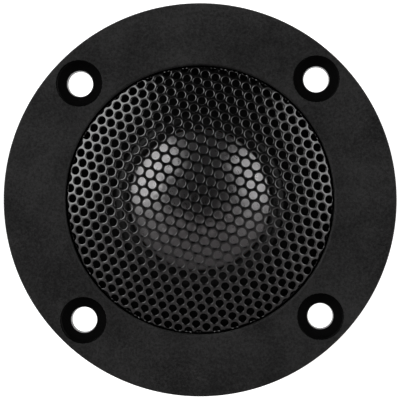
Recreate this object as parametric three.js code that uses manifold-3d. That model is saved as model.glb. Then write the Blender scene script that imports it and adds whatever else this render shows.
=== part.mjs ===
// Flush-mount car tweeter with a 25 mm metal dome behind a perforated steel cap.
// Millimetres. +Z is the axis of symmetry and the way the sound leaves, z = 0 is the back of the
// rear chamber, and the terminals are on the -Y side.
import * as THREE from 'three';
import { mergeVertices } from 'three/addons/utils/BufferGeometryUtils.js';
import Module from 'manifold-3d';

// Flange and its mounting holes
const FLANGE_RADIUS = 36;
const FLANGE_THICKNESS = 4;
const FLANGE_FRONT_Z = 22;
const FLANGE_BACK_Z = FLANGE_FRONT_Z - FLANGE_THICKNESS;
const FLANGE_EDGE_ROUND = 0.4;
const FLANGE_BACK_CHAMFER = 0.3;
const HUB_RADIUS = 25;
const HUB_BACK_Z = FLANGE_BACK_Z - 1;
const LIP_RADIUS = 24.6;
const LIP_ROUND = 0.5;
const MOUNT_PCD = 61.4;
const MOUNT_HOLE_RADIUS = 2.4;
const COUNTERBORE_RADIUS = 4.25;
const COUNTERBORE_DEPTH = 2;
const SCREW_ANGLES = [45, 135, 225, 315];

// Grille and the groove it is pressed into
const GRILLE_RADIUS = 24.35;
const GRILLE_RISE = 6;
const GRILLE_SHEET = 0.5;
const GRILLE_SKIRT = 1.75;
const GRILLE_RIM_Z = 21.45;
const GROOVE_INNER_RADIUS = 22.9;
const GROOVE_LEDGE_WIDTH = 0.6;
const GROOVE_LEDGE_HEIGHT = 0.8;

// Throat and diaphragm
const THROAT_RADIUS = 16.1;
const THROAT_Z = 20.7;
const DISH_RADIUS = 19;
const DISH_DEPTH = 0.3;
const DIAPHRAGM_Z = 20;
const DOME_SPHERE_RADIUS = 20;
const DOME_ARC_RADIUS = 12.7;
const DOME_RADIUS = 12.9;
const DOME_SHEET = 0.1;
const DOME_FLANGE = 0.15;
const FORMER_OUTER_RADIUS = 12.84;
const FORMER_SHEET = 0.09;
const FORMER_LENGTH = 7;
const COIL_INNER_RADIUS = 12.9;
const COIL_OUTER_RADIUS = 13.25;
const COIL_LENGTH = 1.9;
const SURROUND_INNER_RADIUS = 12.95;
const SURROUND_ROLL_INNER = 13.3;
const SURROUND_ROLL_OUTER = 15.5;
const SURROUND_OUTER_RADIUS = 17;
const SURROUND_SHEET = 0.15;
const SURROUND_ROLL_HEIGHT = 0.5;
const CARRIER_INNER_RADIUS = 15.6;

// Motor
const YOKE_RADIUS = 19;
const YOKE_BORE = 13.7;
const YOKE_FRONT_Z = 15.5;
const YOKE_FLOOR_Z = 9;
const YOKE_BACK_Z = 6;
const YOKE_CHAMFER = 1;
const VENT_RADIUS = 2.5;
const MAGNET_RADIUS = 12;
const POLE_RADIUS = 12.4;
const POLE_THICKNESS = 2.5;
const PAD_RADIUS = 10;
const PAD_THICKNESS = 2;

// Rear chamber, its seal and its four screws
const CHAMBER_RADIUS = 20.9;
const CHAMBER_BORE = 19.3;
const CHAMBER_SHOULDER_BORE = 17;
const CHAMBER_FLOOR = 1.6;
const CHAMBER_CHAMFER = 0.8;
const CHAMBER_RIM_Z = 16.2;
const FOAM_GAP = 0.3;
const SEAL_INNER_RADIUS = 19.5;
const SEAL_OUTER_RADIUS = 20.8;
const ASSEMBLY_PCD = 46.6;
const BOSS_RADIUS = 2.2;
const BOSS_BACK_Z = 13;
const BOSS_ROOT = 0.2;
const EAR_THICKNESS = 3;
const ASSEMBLY_HOLE_RADIUS = 1.2;
const PILOT_RADIUS = 1;
const PILOT_SPARE = 0.3;
const THREAD_RADIUS = 0.85;
const THREAD_END_Z = 18.4;
const SCREW_HEAD_RADIUS = 1.9;
const SCREW_HEAD_HEIGHT = 1.4;

// Flange gasket
const GASKET_INNER_RADIUS = 27;
const GASKET_OUTER_RADIUS = 35;
const GASKET_THICKNESS = 1;
const GASKET_HOLE_RADIUS = 2.9;

// Terminals: x is the middle of each blade
const TERMINALS = [
  { pole: 'positive', x: -5, width: 4.8 },
  { pole: 'negative', x: 5, width: 2.8 },
];
const BLADE_THICKNESS = 0.5;
const BLADE_FACE_Y = -22.8;
const BLADE_TIP_Z = 2.6;
const BLADE_TIP_CHAMFER = 0.7;
const LUG_END_Y = -17.3;
const BOARD_WIDTH = 18;
const BOARD_THICKNESS = 1.2;
const BOARD_CORNER = 1;
const BOARD_LOW_Z = 9.5;
const BOARD_HIGH_Z = 15.8;
const SEAT_FACE_Y = -21;
const SEAT_INSET = 0.4;
const RIVET_Z = 12.6;
const RIVET_RADIUS = 0.6;
const RIVET_HOLE_RADIUS = 0.75;
const RIVET_HEAD_RADIUS = 1.2;
const RIVET_HEAD_HEIGHT = 0.5;
const RIVET_END_Y = -19.8;

// Coil leads, and the notches in the carrier ring that they lie in
const LEAD_RADIUS = 0.15;
const LEAD_STANDOFF = 0.4;
const LEAD_LOW_Z = 15.9;
const LEAD_HIGH_Z = 16.75;
const LEAD_END_Y = -18;
const NOTCH_WIDTH = 0.8;
const NOTCH_DEPTH = 0.5;
const NOTCH_SPARE = 0.3;
const WINDOW_SPARE = 0.2;

// Small allowances that keep neighbours apart
const CLEARANCE = 0.1;
const PAST = 1;

// Facets round a full turn, and half the steps along each arc of an outline
const FACETS_LARGE = 48;
const FACETS_MEDIUM = 36;
const FACETS_HOLE = 20;
const FACETS_SMALL = 12;
const ARC_STEPS = 2;
const CAP_STEPS = 4;
const ROLL_STEPS = 6;

const wasm = await Module();
wasm.setup();

const COLOURS = {
  blackPlastic: { color: 0x1d1d1e, roughness: 0.6, metalness: 0 },
  blackPaint: { color: 0x161617, roughness: 0.35, metalness: 0.3 },
  brightMetal: { color: 0xc9c7c6, roughness: 0.28, metalness: 1 },
  zincSteel: { color: 0xa9adb0, roughness: 0.4, metalness: 1 },
  nickel: { color: 0xbdbab4, roughness: 0.22, metalness: 1 },
  copper: { color: 0xb0653c, roughness: 0.4, metalness: 1 },
  brass: { color: 0xc7a75a, roughness: 0.35, metalness: 1 },
  rubber: { color: 0x202022, roughness: 0.8, metalness: 0 },
  foam: { color: 0x2b2b2d, roughness: 0.95, metalness: 0 },
  felt: { color: 0x4a4a4c, roughness: 1, metalness: 0 },
  phenolic: { color: 0x5b3a22, roughness: 0.6, metalness: 0 },
};

function node(name, colour, geometry) {
  const mesh = new THREE.Mesh(geometry, new THREE.MeshStandardMaterial(COLOURS[colour]));
  mesh.name = name;
  return mesh;
}

// A closed outline in (radius, height) turned round the Z axis. An outline that touches the axis
// stays open along it.
function turned(outline, facets) {
  const points = outline.getPoints(ARC_STEPS);
  if (THREE.ShapeUtils.isClockWise(points)) points.reverse();
  return new THREE.LatheGeometry(points, facets).rotateX(Math.PI / 2);
}

// A path through [radius, height] corners; closed corners come back to the first one.
function corners(list, closed = true) {
  const path = new THREE.Path(list.map(([r, z]) => new THREE.Vector2(r, z)));
  if (closed) path.closePath();
  return path;
}

// A plain ring or, with no inner radius, a plain disc between two heights.
function ring(inner, outer, low, high, facets) {
  const list = [[inner, low], [outer, low], [outer, high], [inner, high]];
  return turned(corners(list, inner > 0), facets);
}

function box(xRange, yRange, zRange) {
  const size = [xRange, yRange, zRange].map(([low, high]) => high - low);
  const middle = [xRange, yRange, zRange].map(([low, high]) => (low + high) / 2);
  return new THREE.BoxGeometry(...size).translate(...middle);
}

// An outline in (y, z) given a width along X, centred on x.
function alongX(outline, width, x) {
  return new THREE.ExtrudeGeometry(outline, { depth: width, bevelEnabled: false })
    .translate(0, 0, x - width / 2)
    .rotateX(Math.PI / 2)
    .rotateZ(Math.PI / 2);
}

function toSolid(geometry) {
  const bare = geometry.clone();
  bare.deleteAttribute('normal');
  bare.deleteAttribute('uv');
  const merged = mergeVertices(bare, 1e-4);
  const triangles = [];
  for (let i = 0; i < merged.index.count; i += 3) {
    const [a, b, c] = [0, 1, 2].map((k) => merged.index.getX(i + k));
    if (a !== b && b !== c && c !== a) triangles.push(a, b, c);
  }
  return new wasm.Manifold(new wasm.Mesh({
    numProp: 3,
    vertProperties: merged.attributes.position.array,
    triVerts: new Uint32Array(triangles),
  }));
}

function fromSolid(solid) {
  const mesh = solid.getMesh();
  const geometry = new THREE.BufferGeometry();
  geometry.setAttribute('position', new THREE.BufferAttribute(mesh.vertProperties, 3));
  geometry.setIndex(new THREE.BufferAttribute(mesh.triVerts, 1));
  geometry.computeVertexNormals();
  return geometry;
}

// Joins the extra shapes to a body, then cuts the tools out of it.
function shaped(body, joined, cut) {
  let solid = toSolid(body);
  for (const extra of joined) solid = solid.add(toSolid(extra));
  for (const tool of cut) solid = solid.subtract(toSolid(tool));
  return fromSolid(solid);
}

// The same shape at each of the four screw angles, given its place on the circle.
function atScrews(pcd, shape) {
  return SCREW_ANGLES.map((degrees) => {
    const angle = THREE.MathUtils.degToRad(degrees);
    const [x, y] = [Math.cos(angle), Math.sin(angle)].map((part) => (part * pcd) / 2);
    return shape().translate(x, y, 0);
  });
}

function makeFaceplate() {
  const grooveFloor = GRILLE_RIM_Z - GRILLE_SKIRT - CLEARANCE;
  const surroundTop = DIAPHRAGM_Z + SURROUND_SHEET;
  const outline = new THREE.Path();
  outline.moveTo(HUB_RADIUS, HUB_BACK_Z);
  outline.lineTo(HUB_RADIUS, FLANGE_BACK_Z);
  outline.lineTo(FLANGE_RADIUS - FLANGE_BACK_CHAMFER, FLANGE_BACK_Z);
  outline.lineTo(FLANGE_RADIUS, FLANGE_BACK_Z + FLANGE_BACK_CHAMFER);
  outline.absarc(
    FLANGE_RADIUS - FLANGE_EDGE_ROUND, FLANGE_FRONT_Z - FLANGE_EDGE_ROUND, FLANGE_EDGE_ROUND,
    0, Math.PI / 2, false,
  );
  outline.absarc(
    LIP_RADIUS + LIP_ROUND, FLANGE_FRONT_Z - LIP_ROUND, LIP_ROUND, Math.PI / 2, Math.PI, false,
  );
  outline.lineTo(LIP_RADIUS, grooveFloor);
  outline.lineTo(GROOVE_INNER_RADIUS, grooveFloor);
  outline.lineTo(GROOVE_INNER_RADIUS, grooveFloor + GROOVE_LEDGE_HEIGHT);
  outline.lineTo(GROOVE_INNER_RADIUS - GROOVE_LEDGE_WIDTH, grooveFloor + GROOVE_LEDGE_HEIGHT);
  outline.quadraticCurveTo(
    DISH_RADIUS, THROAT_Z - DISH_DEPTH, THROAT_RADIUS, THROAT_Z,
  );
  outline.lineTo(THROAT_RADIUS, surroundTop);
  outline.lineTo(SURROUND_OUTER_RADIUS + CLEARANCE, surroundTop);
  outline.lineTo(SURROUND_OUTER_RADIUS + CLEARANCE, HUB_BACK_Z);
  outline.closePath();

  const bossTop = FLANGE_BACK_Z + BOSS_ROOT;
  const pilotEnd = THREAD_END_Z + PILOT_SPARE;
  const seatZ = FLANGE_FRONT_Z - COUNTERBORE_DEPTH;
  const boss = () => ring(0, BOSS_RADIUS, BOSS_BACK_Z, bossTop, FACETS_HOLE);
  const pilot = () => ring(0, PILOT_RADIUS, BOSS_BACK_Z - PAST, pilotEnd, FACETS_SMALL);
  const hole = () => ring(0, MOUNT_HOLE_RADIUS, FLANGE_BACK_Z - PAST, FLANGE_FRONT_Z, FACETS_HOLE);
  const counterbore = () => ring(0, COUNTERBORE_RADIUS, seatZ, FLANGE_FRONT_Z + PAST, FACETS_HOLE);
  const lugGrooves = TERMINALS.map(({ x, width }) => box(
    [x - width / 2 - 2 * CLEARANCE, x + width / 2 + 2 * CLEARANCE],
    [BLADE_FACE_Y - 2 * CLEARANCE, LUG_END_Y + CLEARANCE],
    [HUB_BACK_Z - PAST, HUB_BACK_Z + BLADE_THICKNESS + CLEARANCE],
  ));
  return shaped(
    turned(outline, FACETS_LARGE),
    atScrews(ASSEMBLY_PCD, boss),
    [
      ...atScrews(ASSEMBLY_PCD, pilot),
      ...atScrews(MOUNT_PCD, hole),
      ...atScrews(MOUNT_PCD, counterbore),
      ...lugGrooves,
    ],
  );
}

// A spherical cap of sheet metal with a straight skirt that stands in the faceplate's groove.
function makeGrille() {
  const sphere = (GRILLE_RADIUS ** 2 + GRILLE_RISE ** 2) / (2 * GRILLE_RISE);
  const centreZ = GRILLE_RIM_Z + GRILLE_RISE - sphere;
  const innerRadius = GRILLE_RADIUS - GRILLE_SHEET;
  const innerSphere = sphere - GRILLE_SHEET;
  const outerEnd = Math.acos(GRILLE_RADIUS / sphere);
  const innerEnd = Math.acos(innerRadius / innerSphere);
  const outline = new THREE.Path();
  outline.moveTo(innerRadius, GRILLE_RIM_Z - GRILLE_SKIRT);
  outline.lineTo(GRILLE_RADIUS, GRILLE_RIM_Z - GRILLE_SKIRT);
  outline.absarc(0, centreZ, sphere, outerEnd, Math.PI / 2, false);
  outline.absarc(0, centreZ, innerSphere, Math.PI / 2, innerEnd, true);
  outline.closePath();
  return capOfSheet(outline);
}

// Turns an outline whose two arcs meet the axis: its points run from the axis outside, down the
// outer face, round the edge and back to the axis inside.
function capOfSheet(outline, facets = FACETS_LARGE) {
  const points = outline.getPoints(CAP_STEPS).slice(0, -1);
  const lastOuter = points.findIndex(({ x }) => Math.abs(x) < 1e-6);
  const open = [...points.slice(lastOuter + 1), ...points.slice(0, lastOuter + 1)];
  for (const point of [open[0], open[open.length - 1]]) point.x = 0;
  return new THREE.LatheGeometry(open, facets).rotateX(Math.PI / 2);
}

function makeDome() {
  const arcHeight = Math.sqrt(DOME_SPHERE_RADIUS ** 2 - DOME_ARC_RADIUS ** 2);
  const centreZ = DIAPHRAGM_Z + DOME_FLANGE - arcHeight;
  const innerSphere = DOME_SPHERE_RADIUS - DOME_SHEET;
  const outerEnd = Math.acos(DOME_ARC_RADIUS / DOME_SPHERE_RADIUS);
  const innerEnd = Math.asin((DIAPHRAGM_Z - centreZ) / innerSphere);
  const outline = new THREE.Path();
  outline.moveTo(DOME_RADIUS, DIAPHRAGM_Z);
  outline.lineTo(DOME_RADIUS, DIAPHRAGM_Z + DOME_FLANGE);
  outline.absarc(0, centreZ, DOME_SPHERE_RADIUS, outerEnd, Math.PI / 2, false);
  outline.absarc(0, centreZ, innerSphere, Math.PI / 2, innerEnd, true);
  outline.closePath();
  return capOfSheet(outline, FACETS_MEDIUM);
}

// A soft sheet with one low roll between its inner edge and the carrier ring.
function makeSurround() {
  const rollWidth = SURROUND_ROLL_OUTER - SURROUND_ROLL_INNER;
  const roll = [];
  for (let i = 0; i <= ROLL_STEPS; i += 1) {
    const share = i / ROLL_STEPS;
    const rise = SURROUND_ROLL_HEIGHT * Math.sin(Math.PI * share) ** 2;
    roll.push([SURROUND_ROLL_INNER + rollWidth * share, DIAPHRAGM_Z + rise]);
  }
  const outline = new THREE.Path();
  outline.moveTo(SURROUND_INNER_RADIUS, DIAPHRAGM_Z);
  for (const [radius, height] of roll) {
    outline.lineTo(radius, height);
  }
  outline.lineTo(SURROUND_OUTER_RADIUS, DIAPHRAGM_Z);
  outline.lineTo(SURROUND_OUTER_RADIUS, DIAPHRAGM_Z + SURROUND_SHEET);
  for (const [radius, height] of roll.reverse()) {
    outline.lineTo(radius, height + SURROUND_SHEET);
  }
  outline.lineTo(SURROUND_INNER_RADIUS, DIAPHRAGM_Z + SURROUND_SHEET);
  outline.closePath();
  return turned(outline, FACETS_MEDIUM);
}

// The carrier ring is a flange on the yoke with a riser that holds the surround's edge. Under each
// terminal lug, a notch in the flange and a window in the riser let the coil's lead through.
function makeDiaphragmRing() {
  const notches = TERMINALS.map(({ x }) => box(
    [x - NOTCH_WIDTH / 2, x + NOTCH_WIDTH / 2],
    [LEAD_END_Y - NOTCH_SPARE, -COIL_OUTER_RADIUS],
    [HUB_BACK_Z - NOTCH_DEPTH, HUB_BACK_Z + WINDOW_SPARE],
  ));
  const outline = corners([
    [CARRIER_INNER_RADIUS, YOKE_FRONT_Z],
    [YOKE_RADIUS, YOKE_FRONT_Z],
    [YOKE_RADIUS, HUB_BACK_Z],
    [SURROUND_OUTER_RADIUS, HUB_BACK_Z],
    [SURROUND_OUTER_RADIUS, DIAPHRAGM_Z],
    [CARRIER_INNER_RADIUS, DIAPHRAGM_Z],
  ]);
  return shaped(turned(outline, FACETS_MEDIUM), [], notches);
}

// A coil lead from the top of the winding, through the ring's window and into its notch.
function makeLead(x) {
  const coilY = -Math.sqrt((COIL_OUTER_RADIUS + LEAD_STANDOFF) ** 2 - x ** 2);
  const route = new THREE.CatmullRomCurve3([
    new THREE.Vector3(x, coilY, LEAD_LOW_Z),
    new THREE.Vector3(x, coilY - 0.9, LEAD_LOW_Z + 0.3),
    new THREE.Vector3(x, coilY - 2, LEAD_HIGH_Z),
    new THREE.Vector3(x, LEAD_END_Y + 1, LEAD_HIGH_Z),
    new THREE.Vector3(x, LEAD_END_Y, LEAD_HIGH_Z),
  ]);
  const section = new THREE.Shape().absarc(0, 0, LEAD_RADIUS, 0, 2 * Math.PI, false);
  return new THREE.ExtrudeGeometry(section, { steps: 10, curveSegments: 6, extrudePath: route });
}

function makeYoke() {
  const outline = corners([
    [VENT_RADIUS, YOKE_BACK_Z],
    [YOKE_RADIUS - YOKE_CHAMFER, YOKE_BACK_Z],
    [YOKE_RADIUS, YOKE_BACK_Z + YOKE_CHAMFER],
    [YOKE_RADIUS, YOKE_FRONT_Z],
    [YOKE_BORE, YOKE_FRONT_Z],
    [YOKE_BORE, YOKE_FLOOR_Z],
    [VENT_RADIUS, YOKE_FLOOR_Z],
  ]);
  return turned(outline, FACETS_MEDIUM);
}

function makeRearChamber() {
  const cup = turned(corners([
    [0, 0],
    [CHAMBER_RADIUS - CHAMBER_CHAMFER, 0],
    [CHAMBER_RADIUS, CHAMBER_CHAMFER],
    [CHAMBER_RADIUS, CHAMBER_RIM_Z],
    [0, CHAMBER_RIM_Z],
  ], false), FACETS_LARGE);
  const earLow = BOSS_BACK_Z - EAR_THICKNESS;
  const earRoot = (CHAMBER_BORE + CHAMBER_RADIUS) / 2;
  const ears = SCREW_ANGLES.map((degrees) => {
    const ear = new THREE.Shape();
    ear.moveTo(earRoot, -BOSS_RADIUS);
    ear.lineTo(ASSEMBLY_PCD / 2, -BOSS_RADIUS);
    ear.absarc(ASSEMBLY_PCD / 2, 0, BOSS_RADIUS, -Math.PI / 2, Math.PI / 2, false);
    ear.lineTo(earRoot, BOSS_RADIUS);
    return new THREE.ExtrudeGeometry(ear, {
      depth: EAR_THICKNESS, bevelEnabled: false, curveSegments: 10,
    }).translate(0, 0, earLow).rotateZ(THREE.MathUtils.degToRad(degrees));
  });
  const seatHalfWidth = BOARD_WIDTH / 2 - SEAT_INSET;
  const terminalSeat = box(
    [-seatHalfWidth, seatHalfWidth], [SEAT_FACE_Y, -CHAMBER_SHOULDER_BORE],
    [BOARD_LOW_Z - 1, CHAMBER_RIM_Z],
  );
  const bore = turned(corners([
    [0, CHAMBER_FLOOR],
    [CHAMBER_SHOULDER_BORE, CHAMBER_FLOOR],
    [CHAMBER_SHOULDER_BORE, YOKE_BACK_Z],
    [CHAMBER_BORE, YOKE_BACK_Z],
    [CHAMBER_BORE, CHAMBER_RIM_Z + PAST],
    [0, CHAMBER_RIM_Z + PAST],
  ], false), FACETS_LARGE);
  const earHole = () => ring(0, ASSEMBLY_HOLE_RADIUS, earLow - PAST, BOSS_BACK_Z + PAST, FACETS_SMALL);
  const rivetHoles = TERMINALS.map(({ x }) => (
    rivetBore(x, SEAT_FACE_Y - PAST, RIVET_END_Y + 2 * CLEARANCE)
  ));
  return shaped(
    cup,
    [...ears, terminalSeat],
    [bore, ...atScrews(ASSEMBLY_PCD, earHole), ...rivetHoles],
  );
}

function rivetBore(x, yLow, yHigh) {
  return new THREE.CylinderGeometry(RIVET_HOLE_RADIUS, RIVET_HOLE_RADIUS, yHigh - yLow, FACETS_SMALL)
    .translate(x, (yLow + yHigh) / 2, RIVET_Z);
}

function makeTerminalBoard() {
  const round = BOARD_CORNER;
  const right = BOARD_WIDTH / 2 - round;
  const top = BOARD_HIGH_Z - round;
  const bottom = BOARD_LOW_Z + round;
  const outline = new THREE.Shape();
  outline.absarc(right, top, round, 0, Math.PI / 2, false);
  outline.absarc(-right, top, round, Math.PI / 2, Math.PI, false);
  outline.absarc(-right, bottom, round, Math.PI, 1.5 * Math.PI, false);
  outline.absarc(right, bottom, round, 1.5 * Math.PI, 2 * Math.PI, false);
  const board = new THREE.ExtrudeGeometry(outline, {
    depth: BOARD_THICKNESS, bevelEnabled: false, curveSegments: 4,
  }).rotateX(Math.PI / 2).translate(0, SEAT_FACE_Y, 0);
  const holes = TERMINALS.map(({ x }) => (
    rivetBore(x, SEAT_FACE_Y - BOARD_THICKNESS - PAST, SEAT_FACE_Y + PAST)
  ));
  return shaped(board, [], holes);
}

// An L of strip: a lug that lies over the carrier ring, and a blade that points to the back.
function makeTerminal({ x, width }) {
  const lugLow = HUB_BACK_Z;
  const lugHigh = HUB_BACK_Z + BLADE_THICKNESS;
  const outline = new THREE.Shape([
    new THREE.Vector2(LUG_END_Y, lugLow),
    new THREE.Vector2(LUG_END_Y, lugHigh),
    new THREE.Vector2(BLADE_FACE_Y, lugHigh),
    new THREE.Vector2(BLADE_FACE_Y, BLADE_TIP_Z),
    new THREE.Vector2(BLADE_FACE_Y + BLADE_THICKNESS, BLADE_TIP_Z),
    new THREE.Vector2(BLADE_FACE_Y + BLADE_THICKNESS, lugLow),
  ]);
  const tipCuts = [-1, 1].map((side) => {
    const reach = BLADE_TIP_CHAMFER * Math.SQRT2;
    return new THREE.BoxGeometry(reach, 2, reach).rotateY(Math.PI / 4)
      .translate(x + (side * width) / 2, BLADE_FACE_Y, BLADE_TIP_Z);
  });
  const hole = rivetBore(x, BLADE_FACE_Y - PAST, BLADE_FACE_Y + PAST);
  return shaped(alongX(outline, width, x), [], [hole, ...tipCuts]);
}

// A rivet along Y: its round head lies on the blade and its shank ends in the cup's wall.
function makeRivet(x) {
  const shank = RIVET_END_Y - BLADE_FACE_Y;
  const outline = corners([
    [0, 0],
    [RIVET_RADIUS, 0],
    [RIVET_RADIUS, shank],
    [RIVET_HEAD_RADIUS, shank],
    [RIVET_HEAD_RADIUS * 0.7, shank + RIVET_HEAD_HEIGHT],
    [0, shank + RIVET_HEAD_HEIGHT],
  ], false);
  return turned(outline, FACETS_SMALL).rotateX(Math.PI / 2).translate(x, RIVET_END_Y, RIVET_Z);
}

// A pan-head screw that points to +Z, with its head under the ear at z = 0.
function makeAssemblyScrew() {
  const threadLength = THREAD_END_Z - (BOSS_BACK_Z - EAR_THICKNESS);
  const outline = corners([
    [0, -SCREW_HEAD_HEIGHT],
    [SCREW_HEAD_RADIUS * 0.75, -SCREW_HEAD_HEIGHT],
    [SCREW_HEAD_RADIUS, -SCREW_HEAD_HEIGHT * 0.55],
    [SCREW_HEAD_RADIUS, 0],
    [THREAD_RADIUS, 0],
    [THREAD_RADIUS, threadLength - THREAD_RADIUS],
    [0, threadLength],
  ], false);
  return turned(outline, FACETS_SMALL);
}

function makeGasket() {
  const low = FLANGE_BACK_Z - GASKET_THICKNESS;
  const body = ring(GASKET_INNER_RADIUS, GASKET_OUTER_RADIUS, low, FLANGE_BACK_Z, FACETS_LARGE);
  const hole = () => ring(0, GASKET_HOLE_RADIUS, low - PAST, FLANGE_BACK_Z + PAST, FACETS_SMALL);
  return shaped(body, [], atScrews(MOUNT_PCD, hole));
}

function group(...children) {
  const made = new THREE.Group();
  made.add(...children);
  return made;
}

const poleZ = YOKE_FRONT_Z - POLE_THICKNESS;
const coilLow = poleZ + (POLE_THICKNESS - COIL_LENGTH) / 2;

const front = group(
  node('faceplate', 'blackPlastic', makeFaceplate()),
  node('grille', 'blackPaint', makeGrille()),
  node('flange_gasket', 'foam', makeGasket()),
);

const diaphragm = group(
  node('dome', 'brightMetal', makeDome()),
  node('surround', 'rubber', makeSurround()),
  node('voice_coil_former', 'brightMetal', ring(
    FORMER_OUTER_RADIUS - FORMER_SHEET, FORMER_OUTER_RADIUS,
    DIAPHRAGM_Z - FORMER_LENGTH, DIAPHRAGM_Z, FACETS_MEDIUM,
  )),
  node('voice_coil', 'copper', ring(
    COIL_INNER_RADIUS, COIL_OUTER_RADIUS, coilLow, coilLow + COIL_LENGTH, FACETS_MEDIUM,
  )),
  node('diaphragm_ring', 'blackPlastic', makeDiaphragmRing()),
  ...TERMINALS.map(({ pole, x }) => node('lead_wire_' + pole, 'copper', makeLead(x))),
);

const motor = group(
  node('yoke', 'zincSteel', makeYoke()),
  node('magnet', 'nickel', ring(VENT_RADIUS, MAGNET_RADIUS, YOKE_FLOOR_Z, poleZ, FACETS_MEDIUM)),
  node('top_plate', 'zincSteel', ring(VENT_RADIUS, POLE_RADIUS, poleZ, YOKE_FRONT_Z, FACETS_MEDIUM)),
  node('damping_pad', 'felt', ring(
    VENT_RADIUS, PAD_RADIUS, YOKE_FRONT_Z, YOKE_FRONT_Z + PAD_THICKNESS, FACETS_MEDIUM,
  )),
);

const screws = SCREW_ANGLES.map((degrees, i) => {
  const screw = node('assembly_screw_' + (i + 1), 'zincSteel', makeAssemblyScrew());
  screw.position.set(ASSEMBLY_PCD / 2, 0, BOSS_BACK_Z - EAR_THICKNESS);
  const turnedGroup = group(screw);
  turnedGroup.rotation.z = THREE.MathUtils.degToRad(degrees);
  return turnedGroup;
});

const back = group(
  node('rear_chamber', 'blackPlastic', makeRearChamber()),
  node('chamber_foam', 'foam', ring(
    0, CHAMBER_SHOULDER_BORE - FOAM_GAP, CHAMBER_FLOOR, YOKE_BACK_Z - FOAM_GAP, FACETS_MEDIUM,
  )),
  node('rear_seal', 'rubber', ring(
    SEAL_INNER_RADIUS, SEAL_OUTER_RADIUS, CHAMBER_RIM_Z, HUB_BACK_Z, FACETS_LARGE,
  )),
  ...screws,
);

const terminals = group(
  node('terminal_board', 'phenolic', makeTerminalBoard()),
  ...TERMINALS.map((terminal) => node('terminal_' + terminal.pole, 'brass', makeTerminal(terminal))),
  ...TERMINALS.map(({ pole, x }) => node('rivet_' + pole, 'brass', makeRivet(x))),
);

const tweeter = group(front, diaphragm, motor, back, terminals);

export default tweeter;
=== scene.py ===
"""A flush-mount car tweeter: moulded faceplate, perforated steel cap, metal dome, motor, rear
chamber and terminals. Sizes are in millimetres until a mesh is made, which is in metres."""

from math import (acos, asin, atan2, ceil, copysign, cos, degrees, hypot, pi, radians, sin,
                  sqrt, tan)

import bmesh
import bpy
import numpy as np
from mathutils import Matrix, Vector, noise


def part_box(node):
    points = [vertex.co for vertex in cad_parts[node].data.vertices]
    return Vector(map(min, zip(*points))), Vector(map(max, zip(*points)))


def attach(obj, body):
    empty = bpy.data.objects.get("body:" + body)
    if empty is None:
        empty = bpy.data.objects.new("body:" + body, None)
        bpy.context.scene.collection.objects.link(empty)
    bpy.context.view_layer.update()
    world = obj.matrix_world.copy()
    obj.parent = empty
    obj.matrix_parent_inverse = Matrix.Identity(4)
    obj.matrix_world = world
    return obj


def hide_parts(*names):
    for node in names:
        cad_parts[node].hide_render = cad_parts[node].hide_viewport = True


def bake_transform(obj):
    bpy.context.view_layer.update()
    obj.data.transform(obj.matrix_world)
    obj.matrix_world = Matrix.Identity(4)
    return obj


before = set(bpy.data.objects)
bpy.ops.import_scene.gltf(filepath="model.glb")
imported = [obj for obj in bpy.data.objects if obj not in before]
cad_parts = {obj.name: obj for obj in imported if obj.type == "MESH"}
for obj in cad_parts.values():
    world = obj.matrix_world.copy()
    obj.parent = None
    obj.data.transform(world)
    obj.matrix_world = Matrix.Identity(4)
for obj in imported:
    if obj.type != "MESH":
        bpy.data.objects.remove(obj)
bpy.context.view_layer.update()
# unless it is seeded, mathutils' noise starts from the clock
noise.seed_set(1)

MM = 0.001
TAU = 2 * pi
SHARP_DEG = 26    # edges that turn more than this are shaded sharp
SUPPORT = 0.06    # distance of a support point from the corner it holds


def extent(node):
    """(lowest corner, highest corner) of a CAD node, in millimetres."""
    low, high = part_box(node)
    return low / MM, high / MM


def ease(value, start, end):
    """0 before start, 1 after end, and a smooth rise between them."""
    t = min(1.0, max(0.0, (value - start) / (end - start)))
    return t * t * (3 - 2 * t)


# -------- outlines and meshes

def fillet(corners, step_deg=13, closed=True, support=True):
    """Points of an outline whose corners (r, z, radius) are rounded. Long straights get a
    support point near each end, so that smooth shading stays flat along them."""
    count = len(corners)
    parts = []
    for i, (r, z, radius) in enumerate(corners):
        here = Vector((r, z))
        ends = not closed and i in (0, count - 1)
        before = Vector(corners[i - 1][:2])
        after = Vector(corners[(i + 1) % count][:2])
        to_before, to_after = before - here, after - here
        if ends or radius <= 0 or to_before.length < 1e-9 or to_after.length < 1e-9:
            parts.append([here])
            continue
        angle = to_before.angle(to_after)
        reach = radius / tan(angle / 2)
        limit = 0.49 * min(to_before.length, to_after.length)
        if reach > limit:
            radius *= limit / reach
            reach = limit
        u, v = to_before.normalized(), to_after.normalized()
        a, b = here + u * reach, here + v * reach
        middle = here + (u + v).normalized() * (radius / sin(angle / 2))
        turn = pi - angle
        steps = max(2, ceil(degrees(turn) / step_deg))
        start = (a - middle).normalized()
        goal = (b - middle).normalized()
        side = start.x * goal.y - start.y * goal.x
        arc = []
        for k in range(steps + 1):
            t = copysign(turn, side) * k / steps
            arc.append(middle + radius * Vector((
                start.x * cos(t) - start.y * sin(t),
                start.x * sin(t) + start.y * cos(t))))
        parts.append(arc)
    out = []
    for i, part in enumerate(parts):
        out += part
        if i == count - 1 and not closed:
            break
        a, b = part[-1], parts[(i + 1) % count][0]
        gap = (b - a).length
        if support and gap > 6 * SUPPORT:
            way = (b - a) / gap
            out += [a + way * SUPPORT, b - way * SUPPORT]
    return [(p.x, p.y) for p in out]


def rod(radius, low, high):
    """Outline of a plain round rod on the axis."""
    return [(0, low), (radius, low), (radius, high), (0, high)]


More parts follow.
